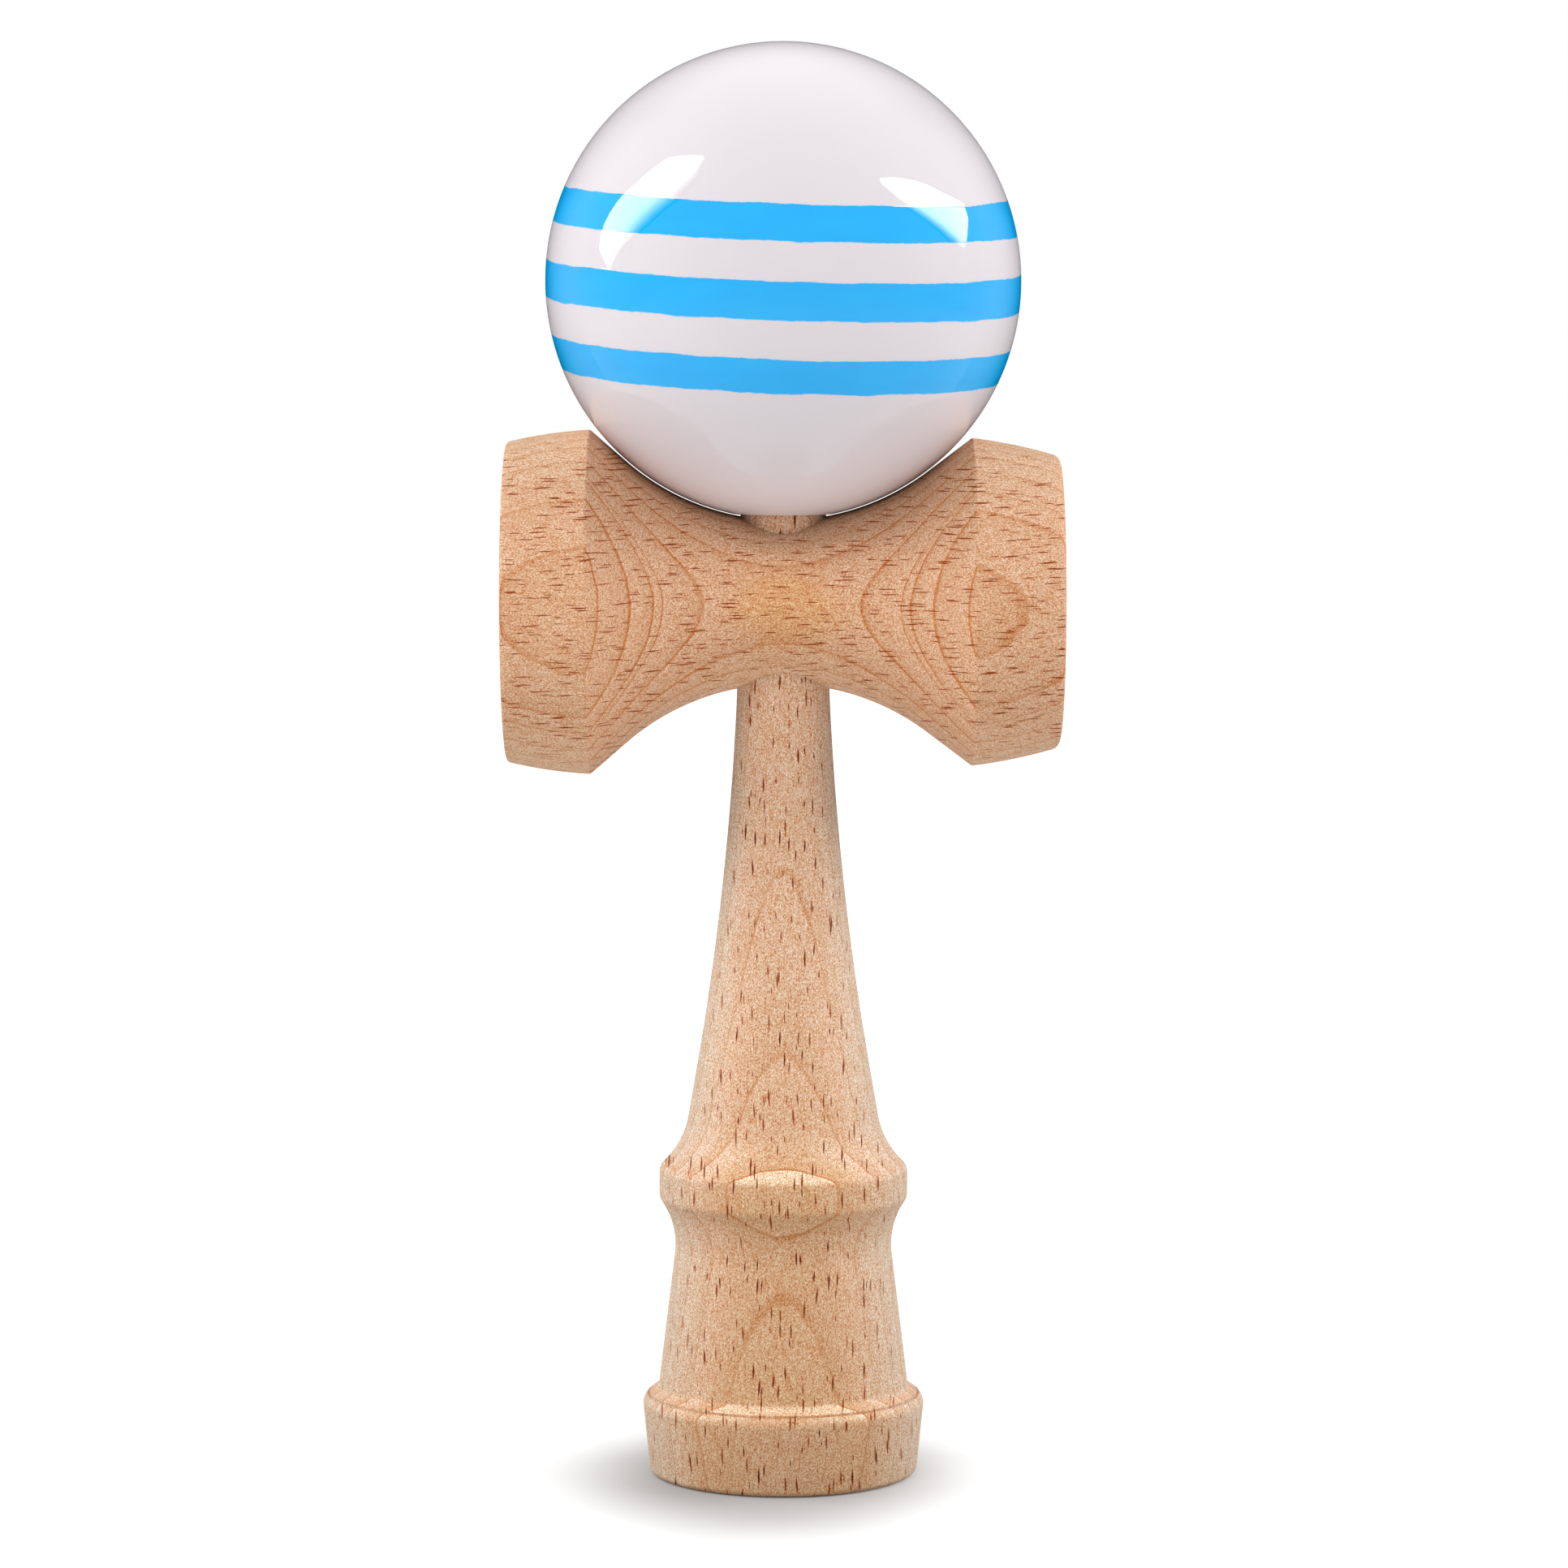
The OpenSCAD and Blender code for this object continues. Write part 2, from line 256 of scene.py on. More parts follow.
def mesh_piece(name, points, faces):
    """A mesh object from arrays of points, in metres, and of faces, turned outwards: the sum of the signed
    volumes of the cones from the origin to the faces has to be positive."""
    fans = [f[:, [0, i, i + 1]] for f in faces for i in range(1, f.shape[1] - 1)]
    a, b, c = (points[np.concatenate(fans)[:, i]] for i in range(3))
    if np.einsum("ij,ij->i", a, np.cross(b, c)).sum() < 0:
        faces = [f[:, ::-1] for f in faces]
    mesh = bpy.data.meshes.new(name)
    mesh.from_pydata(points.tolist(), [], [face for f in faces for face in f.tolist()])
    mesh.shade_smooth()
    mesh.set_sharp_from_angle(angle=SHARP)
    piece = bpy.data.objects.new(name, mesh)
    bpy.context.scene.collection.objects.link(piece)
    return piece


def turned(name, outline, segments, axis="z", height=0.0, loop=False):
    """Surface of revolution. The point (s, t) is the outline's point s, [r, h], turned by the angle t
    about the axis: r cos t and r sin t across the axis, h along it. An open outline starts and ends on the
    axis, in one point each, and a loop runs back into its first ring."""
    rings = outline if loop else outline[1:-1]
    t = np.linspace(0, 2 * math.pi, segments, endpoint=False)
    r, h = rings[:, :1], np.repeat(rings[:, 1:], segments, 1)
    points = np.stack([r * np.cos(t), r * np.sin(t), h], 2).reshape(-1, 3)
    at = np.arange(len(points)).reshape(-1, segments)
    if loop:
        at = np.concatenate([at, at[:1]])
    ahead = np.roll(at, -1, 1)
    faces = [np.stack([at[:-1], ahead[:-1], ahead[1:], at[1:]], 2).reshape(-1, 4)]
    if not loop:
        first, last = np.full(segments, len(points)), np.full(segments, len(points) + 1)
        faces.append(np.stack([first, ahead[0], at[0]], 1))
        faces.append(np.stack([last, at[-1], ahead[-1]], 1))
        points = np.concatenate([points, [[0, 0, outline[0, 1]], [0, 0, outline[-1, 1]]]])
    points = (points[:, AXIS_ORDER[axis]] + [0, 0, height]) * MM
    return mesh_piece(name, points, faces)


def drill(piece, bit):
    """Takes the solid of bit out of the piece for good, and removes bit."""
    cut = piece.modifiers.new("drill", "BOOLEAN")
    cut.operation, cut.solver, cut.object = "DIFFERENCE", "EXACT", bit
    whole = piece.data
    drilled = piece.evaluated_get(bpy.context.evaluated_depsgraph_get())
    piece.data = bpy.data.meshes.new_from_object(drilled)
    piece.modifiers.clear()
    piece.data.name = whole.name
    bpy.data.meshes.remove(whole)
    bpy.data.objects.remove(bit)
    piece.data.shade_smooth()
    piece.data.set_sharp_from_angle(angle=SHARP)


def pin(radius_low, radius_high, low, high):
    """Outline of a plain or tapered pin from low to high along its axis."""
    return np.array([[0, low], [radius_low, low], [radius_high, high], [0, high]], float)


# Finishes

# Between 1 and 2 the points at one distance form a pointed oval
CELL_EXPONENT = 1.4


class Finish:
    """A material whose nodes are made by calls. Each call returns the socket that holds its result."""

    def __init__(self, name):
        self.material = bpy.data.materials.new(name)
        self.material.use_nodes = True
        self.tree = self.material.node_tree
        self.shader = next(n for n in self.tree.nodes if n.type == "BSDF_PRINCIPLED")

    def feed(self, socket, value):
        """Links a socket to the one that it gets its value from, or sets a plain value on it."""
        if isinstance(value, bpy.types.NodeSocket):
            self.tree.links.new(value, socket)
        else:
            socket.default_value = value

    def surface(self, values):
        """Feeds the shader's inputs by name."""
        for key, value in values.items():
            self.feed(self.shader.inputs[key], value)

    def node(self, kind, inputs=(), **settings):
        """A node with its settings and inputs."""
        made = self.tree.nodes.new(kind)
        for key, value in settings.items():
            setattr(made, key, value)
        for key, value in dict(inputs).items():
            self.feed(made.inputs[key], value)
        return made

    def math(self, operation, a, b=0.0, clamp=False):
        made = self.node("ShaderNodeMath", {0: a, 1: b}, operation=operation, use_clamp=clamp)
        return made.outputs[0]

    def add(self, a, b):
        return self.math("ADD", a, b)

    def times(self, a, b):
        return self.math("MULTIPLY", a, b)

    def larger(self, a, b):
        return self.math("MAXIMUM", a, b)

    def step(self, value, low, high, start=0.0, end=1.0):
        """start below low, end above high, and a smooth step between."""
        return self.node(
            "ShaderNodeMapRange",
            {"Value": value, "From Min": low, "From Max": high, "To Min": start, "To Max": end},
            interpolation_type="SMOOTHSTEP",
        ).outputs["Result"]

    def vector(self, x, y, z):
        return self.node("ShaderNodeCombineXYZ", {"X": x, "Y": y, "Z": z}).outputs[0]

    def stretch(self, at, scale):
        return self.node("ShaderNodeVectorMath", {0: at, 1: scale}, operation="MULTIPLY").outputs[0]

    def shift(self, at, by):
        return self.node("ShaderNodeVectorMath", {0: at, 1: by}, operation="ADD").outputs[0]

    def length(self, at):
        return self.node("ShaderNodeVectorMath", {0: at}, operation="LENGTH").outputs["Value"]

    def split(self, at):
        return self.node("ShaderNodeSeparateXYZ", {0: at}).outputs

    def noise(self, at, scale=1.0, detail=2.0, roughness=0.5):
        """Smooth noise about zero, from about -0.5 to 0.5, with features about 1 / scale apart. A scale of
        three numbers stretches it along each axis."""
        if isinstance(scale, tuple):
            at, scale = self.stretch(at, scale), 1.0
        inputs = {"Vector": at, "Scale": scale, "Detail": detail, "Roughness": roughness}
        return self.add(self.node("ShaderNodeTexNoise", inputs).outputs["Fac"], -0.5)

    def cells(self, at):
        """Scattered points in the plane of x and y, one in each unit square: the distance to the nearest,
        and three random numbers of that point."""
        made = self.node(
            "ShaderNodeTexVoronoi", {"Vector": at, "Scale": 1.0, "Exponent": CELL_EXPONENT},
            voronoi_dimensions="2D", distance="MINKOWSKI",
        )
        return made.outputs["Distance"], self.split(made.outputs["Color"])

    def blend(self, share, a, b, mode="MIX"):
        """The colour a at the share 0, and at the share 1 b, or a times b in the mode MULTIPLY."""
        made = self.node("ShaderNodeMix", data_type="RGBA", blend_type=mode)
        self.feed(made.inputs["Factor"], share)
        for socket, value in zip((s for s in made.inputs if s.type == "RGBA"), (a, b)):
            self.feed(socket, value)
        return next(s for s in made.outputs if s.type == "RGBA")

    def curve(self, value, points):
        """Straight lines through points (in, out), both from 0 to 1."""
        made = self.node("ShaderNodeFloatCurve", {"Value": value})
        line = made.mapping.curves[0]
        for place, point in zip(line.points, (points[0], points[-1])):
            place.location = point
        for point in points[1:-1]:
            line.points.new(*point)
        for place in line.points:
            place.handle_type = "VECTOR"
        made.mapping.update()
        return made.outputs[0]

    def relief(self, height, depth):
        """A bump whose height 1 stands for a depth in millimetres."""
        inputs = {"Height": height, "Distance": depth * MM, "Strength": 1.0}
        return self.node("ShaderNodeBump", inputs).outputs[0]


def rgb(r, g, b):
    """A colour with nothing showing through it."""
    return (r, g, b, 1.0)


BLACK, WHITE = rgb(0, 0, 0), rgb(1, 1, 1)

# Beech, in millimetres

# Half the depth of log that the rings cover, and the steps between the places that the seeds cut from it
LOG_HALF = 26.0
SEED_STEPS = (37.0, 53.0, 71.0)

# Scales of its noises, in features per millimetre across, along and into the wood
SWAY_SCALE = (0.06, 0.02, 0.06)
RIPPLE_SCALE = (0.5, 0.14, 0.5)
TONE_SCALE = (0.08, 0.03, 0.08)
LINE_SCALE = (0.2, 0.1, 0.2)
PATCH_SCALE = (0.25, 0.12, 0.25)
FIBRE_SCALE = (4.0, 0.4, 4.0)
PORE_SCALE = (6.4, 4.4, 6.4)
RAY_SCALE = (0.1, 0.1, 0.08)

# Shares of the ring's growth and of the uneven tone in the change from pale to late wood
LATE_SHARE, TONE_SHARE = 0.85, 0.5

# The line that ends a ring: its course, in its own thicknesses before the end
LINE_STARTS, LINE_IS_FULL, LINE_FADES = 2.4, 0.9, 0.35
# How far the surface faces the fibres' ends where the line grows from faint to full
LINE_ON_END = (0.1, 0.5)
LINE_LEVEL, LINE_UNEVENNESS = 0.9, 2.0

# A warm patch: the share of its reach that it fills evenly, and the depths where it comes in
PATCH_MIDDLE, PATCH_UNEVENNESS = 0.3, 0.5
PATCH_DEPTHS = (0.0, 4.0)

# Early wood on end grain, and on the handle's up-facing ends also a painted highlight of light from
# above: the share of a ring that it takes, and how far the surface faces the end
EARLY_AND_HIGHLIGHT_PART = 0.8
EARLY_AND_HIGHLIGHT_ON_END = (0.2, 0.6)
# The depths where it comes in, from a first share, and where it goes out
EARLY_AND_HIGHLIGHT_COMES, EARLY_AND_HIGHLIGHT_FIRST_SHARE = (10.0, 14.5), 0.3
EARLY_AND_HIGHLIGHT_GOES = (16.4, 17.4)

# How far the surface faces the side where the quartered colour comes in, which is partly a painted
# sheen of the lamps
QUARTERED_AND_SHEEN_ON_SIDE = (0.5, 1.0)

# Fibres and pores, which shade red, green and blue by the shares of SPECKLE
FIBRE_DETAIL, FIBRE_ROUGHNESS = 3.0, 0.6
PORE_DETAIL, PORE_ROUGHNESS = 1.0, 0.7
FIBRE_SHARE = 0.35
SPECKLE = (1.2, 2.9, 4.5)
DARKEST_SPECKLE = 0.2

# How the rays' flecks fade on the sides and ends, as (from, to, full share, faded share)
FLECKS_ON_SIDE = (0.65, 1.0, 1.0, 0.2)
FLECKS_ON_END = (0.72, 0.95, 1.0, 0.25)
# The share of its darkness that every fleck has, its solid part, and the reach of its warm fringe
SURE_DARKNESS = 0.6
FLECK_CORE = 0.8
FRINGE_REACH = 1.4
FRINGE = rgb(0.8, 0.32, 0.05)

# Gloss and relief of the sanded wood
BEECH_GLOSS = dict(rough=0.6, rougher_flecks=0.2, rougher_fibres=0.12, specular=0.15)
BEECH_RELIEF = dict(fibres=0.35, pores=0.5, flecks=-0.9, depth=0.02)


def growth_rings(f, log, in_log, on_end, wood):
    """The share of its ring that has grown at a place, from 0 to 1, the strength of the line that ends the
    ring, and the warmth that the log lists for that depth."""
    rings = log["rings"]
    count = len(rings) - 1
    place = f.math("DIVIDE", f.add(in_log, LOG_HALF), 2 * LOG_HALF, clamp=True)
    index = f.curve(place, [((d + LOG_HALF) / (2 * LOG_HALF), i / count) for i, d in enumerate(rings)])
    warmth = f.curve(place, [((d + LOG_HALF) / (2 * LOG_HALF), share) for d, share in log["warmth"]])
    grown = f.math("FRACT", f.times(index, count))
    if log["outward"] < 0:
        grown = f.math("SUBTRACT", 1.0, grown)
    starts, is_full, fades = (1 - part * log["line"] for part in (LINE_STARTS, LINE_IS_FULL, LINE_FADES))
    line = f.times(f.step(grown, starts, is_full), f.step(grown, fades, 1.0, 1.0, 0.0))
    line = f.times(line, f.step(on_end, *LINE_ON_END, log["faint"], 1.0))
    uneven = f.add(f.times(f.noise(wood, LINE_SCALE), LINE_UNEVENNESS), LINE_LEVEL)
    return grown, f.math("MULTIPLY", line, uneven, clamp=True), warmth


def warm_patch(f, patch, along, across, depth, wood):
    """A round patch, (place along and across, reach along and across, share), that fades towards its reach
    and shows on the front only."""
    place_along, place_across, reach_along, reach_across, share = patch
    away_along = f.times(f.add(along, -place_along), 1 / reach_along)
    away_across = f.times(f.add(across, -place_across), 1 / reach_across)
    away = f.length(f.vector(away_along, away_across, 0.0))
    away = f.add(away, f.times(f.noise(wood, PATCH_SCALE), PATCH_UNEVENNESS))
    return f.times(f.step(away, PATCH_MIDDLE, 1.0, share, 0.0), f.step(depth, *PATCH_DEPTHS))


def ray_flecks(f, flecks, seed, crossing, along, silky):
    """The darkness of the flecks and of the warm fringes round them, from layers of scattered points. A
    fleck is where the distance to its point is below its reach."""
    marks = fringes = 0.0
    for wide, long, least, most, darkness, offset in flecks:
        at_across = f.add(f.times(crossing, 1 / wide), offset + seed)
        at_along = f.add(f.times(along, 1 / long), 2 * offset)
        distance, (chance, strength, _) = f.cells(f.vector(at_across, at_along, 0.0))
        reach = f.add(f.times(chance, most - least), least)
        distance = f.math("DIVIDE", distance, reach)
        varied = f.add(f.times(strength, (1 - SURE_DARKNESS) * darkness), SURE_DARKNESS * darkness)
        dark = f.times(silky, varied)
        marks = f.larger(marks, f.times(dark, f.step(distance, FLECK_CORE, 1.0, 1.0, 0.0)))
        fringes = f.larger(fringes, f.times(dark, f.step(distance, FLECK_CORE, FRINGE_REACH, 1.0, 0.0)))
    return marks, fringes


def beech(name, grain, log, pale, late, line, tint, quartered_and_sheen, fleck, flecks, seed):
    """Beech that was sawn so that its flat growth rings face the front. grain names the axis that the
    fibres follow. log tells where the growth rings lie: a boundary at each depth in rings, measured in
    millimetres from the piece's axis to the front, moved along the grain by slope and droop (depth +
    slope * along + droop * along^2) and unevenly by sway and ripple. outward is 1 where the tree grew
    towards the front. Each ring goes from pale to late wood, later with a higher power, and ends in a
    line, whose thickness is a share of the ring and whose strength is faint where the surface follows
    the fibres. The wood takes the tint at the depths that warmth lists and in the patches, and is
    multiplied by early where end grain shows the start of a ring, and by quartered on the sides. On
    the handle, early only falls on end grain that faces up, so there it is also a painted highlight of
    the light from above. quartered gives a paler quarter-sawn look that is also a painted sheen of the
    lamps. The rays are thin upright sheets from front to back, which lean across by lean for each
    millimetre along, and show as dark flecks on the front and as faint ones on the sides and ends.
    flecks gives layers of them, as (spacing across, spacing along, smallest and largest half size as a
    share of the spacing, darkness, offset)."""
    f = Finish(name)
    coordinates = f.node("ShaderNodeTexCoord")
    x, y, z = f.split(f.stretch(coordinates.outputs["Object"], IN_MM))
    nx, _, nz = f.split(coordinates.outputs["Normal"])
    z = f.add(z, -CROSSPIECE_Z)
    upright = grain == "z"
    along, across, facing_side, facing_end = (z, x, nx, nz) if upright else (x, z, nz, nx)
    on_side, on_end = f.math("ABSOLUTE", facing_side), f.math("ABSOLUTE", facing_end)
    depth = f.times(y, -1.0)
    wood = f.shift(f.vector(across, along, depth), tuple(seed * s for s in SEED_STEPS))

    sway = f.times(f.noise(wood, SWAY_SCALE, detail=1.0), log["sway"])
    ripple = f.times(f.noise(wood, RIPPLE_SCALE), log["ripple"])
    bend = f.add(f.times(along, log["slope"]), f.times(f.times(along, along), log["droop"]))
    in_log = f.add(f.add(depth, bend), f.add(sway, ripple))
    grown, ring_line, warmth = growth_rings(f, log, in_log, on_end, wood)
    lateness = f.times(f.math("POWER", grown, log["power"]), LATE_SHARE)
    tone = f.times(f.noise(wood, TONE_SCALE), TONE_SHARE)
    colour = f.blend(f.math("ADD", lateness, tone, clamp=True), pale, late)
    colour = f.blend(f.times(ring_line, log["strength"]), colour, line)

    for patch in log["patches"]:
        warmth = f.larger(warmth, warm_patch(f, patch, along, across, depth, wood))
    colour = f.blend(warmth, colour, tint, "MULTIPLY")
    # On the handle only end grain that faces up turns paler at the start of a ring, which besides the
    # grain is a painted highlight of the light from above; the crosspiece takes it on both ends
    cut_end = facing_end if upright else on_end
    ring_start_and_highlight = f.times(f.step(grown, 0.0, EARLY_AND_HIGHLIGHT_PART, 1.0, 0.0), f.step(cut_end, *EARLY_AND_HIGHLIGHT_ON_END))
    ring_start_and_highlight = f.times(ring_start_and_highlight, f.step(in_log, *EARLY_AND_HIGHLIGHT_COMES, EARLY_AND_HIGHLIGHT_FIRST_SHARE, 1.0))
    ring_start_and_highlight = f.times(ring_start_and_highlight, f.step(in_log, *EARLY_AND_HIGHLIGHT_GOES, 1.0, 0.0))
    colour = f.blend(ring_start_and_highlight, colour, log["early_and_highlight"], "MULTIPLY")
    # Paler sides: a quarter-sawn look, and also a painted sheen of the lamps
    colour = f.blend(f.step(on_side, *QUARTERED_AND_SHEEN_ON_SIDE), colour, quartered_and_sheen, "MULTIPLY")

    fibre = f.noise(wood, FIBRE_SCALE, FIBRE_DETAIL, FIBRE_ROUGHNESS)
    pores = f.noise(wood, PORE_SCALE, PORE_DETAIL, PORE_ROUGHNESS)
    speckle = f.add(f.times(fibre, FIBRE_SHARE), pores)
    shades = (f.larger(f.add(1.0, f.times(speckle, share)), DARKEST_SPECKLE) for share in SPECKLE)
    colour = f.blend(1.0, colour, f.vector(*shades), "MULTIPLY")

    crossing = f.add(f.add(across, f.times(along, -log["lean"])), f.noise(wood, RAY_SCALE))
    silky = f.times(f.step(on_side, *FLECKS_ON_SIDE), f.step(on_end, *FLECKS_ON_END))
    marks, fringes = ray_flecks(f, flecks, seed, crossing, along, silky)
    colour = f.blend(fringes, colour, FRINGE, "MULTIPLY")
    colour = f.blend(marks, colour, fleck)

    rougher = f.add(
        f.times(marks, BEECH_GLOSS["rougher_flecks"]), f.times(fibre, BEECH_GLOSS["rougher_fibres"]),
    )
    height = f.add(f.times(fibre, BEECH_RELIEF["fibres"]), f.times(pores, BEECH_RELIEF["pores"]))
    height = f.add(height, f.times(marks, BEECH_RELIEF["flecks"]))
    f.surface({
        "Base Color": colour,
        "Roughness": f.add(BEECH_GLOSS["rough"], rougher),
        "Specular IOR Level": BEECH_GLOSS["specular"],
        "Normal": f.relief(height, BEECH_RELIEF["depth"]),
    })
    return f.material


# The handle's pale colour for ring starts on up-facing end grain is also a painted highlight of light from
# above
HANDLE_LOG = dict(
    rings=(-26, -22.3, -18.9, -15.6, -12.4, -8.9, -5.5, -2.4, 0.9, 4.2, 7.6, 10.65, 14.3, 20.5, 26),
    outward=1, slope=0.0, droop=0.0, lean=0.0, sway=0.5, ripple=0.3,
    line=0.03, strength=0.7, faint=0.55, power=1.6,
    warmth=((-26, 0), (7, 0), (11, 0.35), (14, 0.75), (15.5, 1), (17, 0.75), (18.5, 0.55), (26, 0.55)),
    patches=((-88.5, 1.0, 2.5, 4.5, 1.0),), early_and_highlight=rgb(1.2, 1.5, 1.85),
)
CROSSPIECE_LOG = dict(
    rings=(
        -26, -23.2, -20.4, -17.7, -15.1, -12.3, -9.6, -6.8, -4.1, -1.3,
        1.5, 4.3, 6.9, 9.2, 12.1, 14.4, 15.0, 17.0, 20.4, 22.4, 26,
    ),
    outward=-1, slope=0.0066, droop=0.0005, lean=0.02, sway=0.5, ripple=0.25,
    line=0.055, strength=0.92, faint=0.36, power=2.2,
    warmth=((-26, 0), (20.2, 0), (20.5, 0.15), (26, 0.15)),
    patches=((0.5, 0.0, 9.5, 7.0, 1.0),), early_and_highlight=rgb(1.03, 1.06, 1.08),
)

# Its quartered colour makes the left and right sides paler, a quarter-sawn look and a painted sheen of the
# side lamps
handle_wood = beech(
    "handle_beech", "z", HANDLE_LOG,
    pale=rgb(0.715, 0.458, 0.302), late=rgb(0.665, 0.41, 0.253), line=rgb(0.53, 0.19, 0.045),
    tint=rgb(0.9, 0.83, 0.68), quartered_and_sheen=rgb(0.97, 1.14, 1.28), fleck=rgb(0.1, 0.012, 0.001),
    flecks=(
        (1.5, 13.5, 0.053, 0.09, 1.0, 0.0),
        (1.45, 12.5, 0.049, 0.085, 1.0, 23.7),
        (1.7, 9.5, 0.038, 0.058, 0.95, 11.3),
    ),
    seed=1,
)
# Its quartered colour makes the top and bottom paler, a quarter-sawn look and a painted sheen of the lamps
# above
crosspiece_wood = beech(
    "crosspiece_beech", "x", CROSSPIECE_LOG,
    pale=rgb(0.7, 0.408, 0.245), late=rgb(0.64, 0.35, 0.192), line=rgb(0.55, 0.18, 0.045),
    tint=rgb(1.0, 0.93, 0.75), quartered_and_sheen=rgb(1.03, 1.14, 1.2), fleck=rgb(0.2, 0.025, 0.001),
    flecks=((0.72, 10.0, 0.076, 0.125, 1.0, 3.7), (0.75, 7.5, 0.071, 0.115, 0.9, 17.1)),
    seed=2,
)
ball_core = beech(
    "ball_core_beech", "z", HANDLE_LOG,
    pale=rgb(0.66, 0.42, 0.29), late=rgb(0.6, 0.36, 0.22), line=rgb(0.48, 0.2, 0.09),
    tint=WHITE, quartered_and_sheen=WHITE, fleck=rgb(0.25, 0.06, 0.015),
    flecks=((1.3, 7.4, 0.06, 0.13, 0.8, 5.1),),
    seed=3,
)

# Lacquer and painted bands, in millimetres from the ball's middle

# The lower and upper limit of each band, along an axis by which the bands drop to the right and the front
STRIPES = ((6.8, 11.2), (-2.75, 2.0), (-11.75, -7.5))
STRIPE_EDGE = 0.07
DROP_RIGHT, DROP_FRONT = math.radians(2), math.radians(4.6)
STRIPE_AXIS = Vector((math.sin(DROP_RIGHT), -math.sin(DROP_FRONT), 1)).normalized()

# The brush's slow waver and its tremor, with noise scales in features per millimetre
WAVER_SCALE, WAVER_SIZE = (0.16, 0.16, 0.3), 0.5
TREMOR_SCALE, TREMOR_DETAIL, TREMOR_ROUGHNESS, TREMOR_SIZE = 1.1, 3.0, 0.6, 0.22

# Streaks in the paint, clouds in the white, and the rare specks in it
BLUES = rgb(0.002, 0.435, 0.97), rgb(0.006, 0.49, 1.0)
STREAK_SCALE, STREAK_DETAIL, STREAK_SHARE = (0.12, 0.12, 0.5), 3.0, 1.4
WHITES = rgb(0.765, 0.715, 0.75), rgb(0.795, 0.745, 0.78)
CLOUD_SCALE = 0.06
SPECK_SCALE = (0.13, 0.13, 0.13)
SPECK_EDGE, SPECK_CHANCE = (0.02, 0.045), (0.86, 0.9)
SPECK_COLOUR, SPECK_SHARE = rgb(0.45, 0.4, 0.4), 0.35

# Gloss and relief of the lacquer
LACQUER_ROUGHNESS = 0.3
SHEEN_SCALE, SHEEN_SHARE = 0.5, 0.08
PEEL_SCALE = 0.7
LACQUER_COAT = {"Coat Weight": 0.8, "Coat Roughness": 0.03, "Coat IOR": 1.5}
LACQUER_RELIEF = dict(paint=0.35, peel=0.12, depth=0.02)


def lacquer(name):
    """Gloss white lacquer with painted bands. A band is where the height along the stripe axis, plus a
    small noise that makes the brush's edge uneven, lies between its two limits. The paint stands a
    little proud."""
    f = Finish(name)
    object_at = f.node("ShaderNodeTexCoord").outputs["Object"]
    at = f.shift(f.stretch(object_at, IN_MM), (0, 0, -BALL_Z))
    along_axis = f.node("ShaderNodeVectorMath", {0: at, 1: STRIPE_AXIS}, operation="DOT_PRODUCT")
    height = along_axis.outputs["Value"]
    height = f.add(height, f.times(f.noise(at, WAVER_SCALE), WAVER_SIZE))
    tremor = f.noise(at, TREMOR_SCALE, TREMOR_DETAIL, TREMOR_ROUGHNESS)
    height = f.add(height, f.times(tremor, TREMOR_SIZE))
    paint = 0.0
    for low, high in STRIPES:
        above = f.step(height, low - STRIPE_EDGE, low + STRIPE_EDGE)
        below = f.step(height, high - STRIPE_EDGE, high + STRIPE_EDGE, 1.0, 0.0)
        paint = f.larger(paint, f.times(above, below))
    streak = f.noise(at, STREAK_SCALE, STREAK_DETAIL)
    blue = f.blend(f.add(0.5, f.times(streak, STREAK_SHARE)), *BLUES)
    white = f.blend(f.add(0.5, f.noise(at, CLOUD_SCALE)), *WHITES)
    speck_distance, (chance, _, _) = f.cells(f.stretch(at, SPECK_SCALE))
    speck = f.times(f.step(speck_distance, *SPECK_EDGE, 1.0, 0.0), f.step(chance, *SPECK_CHANCE))
    white = f.blend(f.times(speck, SPECK_SHARE), white, SPECK_COLOUR)
    peel = f.times(f.noise(at, PEEL_SCALE), LACQUER_RELIEF["peel"])
    proud = f.add(f.times(paint, LACQUER_RELIEF["paint"]), peel)
    normal = f.relief(proud, LACQUER_RELIEF["depth"])
    f.surface({
        "Base Color": f.blend(paint, white, blue),
        "Roughness": f.add(LACQUER_ROUGHNESS, f.times(f.noise(at, SHEEN_SCALE), SHEEN_SHARE)),
        "Specular IOR Level": 0.0,
        **LACQUER_COAT,
        "Normal": normal,
        "Coat Normal": normal,
    })
    return f.material


ball_lacquer = lacquer("ball_lacquer")

# Pieces

HANDLE_SEGMENTS = 192
CROSSPIECE_SEGMENTS = 240
BALL_SEGMENTS = 240
BORE_SEGMENTS = 192
CORD_SEGMENTS = 48

# How far a bit reaches past the wood, and how many rings of the cord hole's mouth are lacquered
OVERSHOOT = 1
LACQUERED_RINGS = 10

handle = turned("turned_handle", handle_outline(), HANDLE_SEGMENTS)
cross_hole = pin(SEAT_HOLE_D / 2, SEAT_HOLE_D / 2, -SEAT_D, SEAT_D)
drill(handle, turned("cross_hole_bit", cross_hole, CORD_SEGMENTS, axis="y", height=CROSSPIECE_Z))

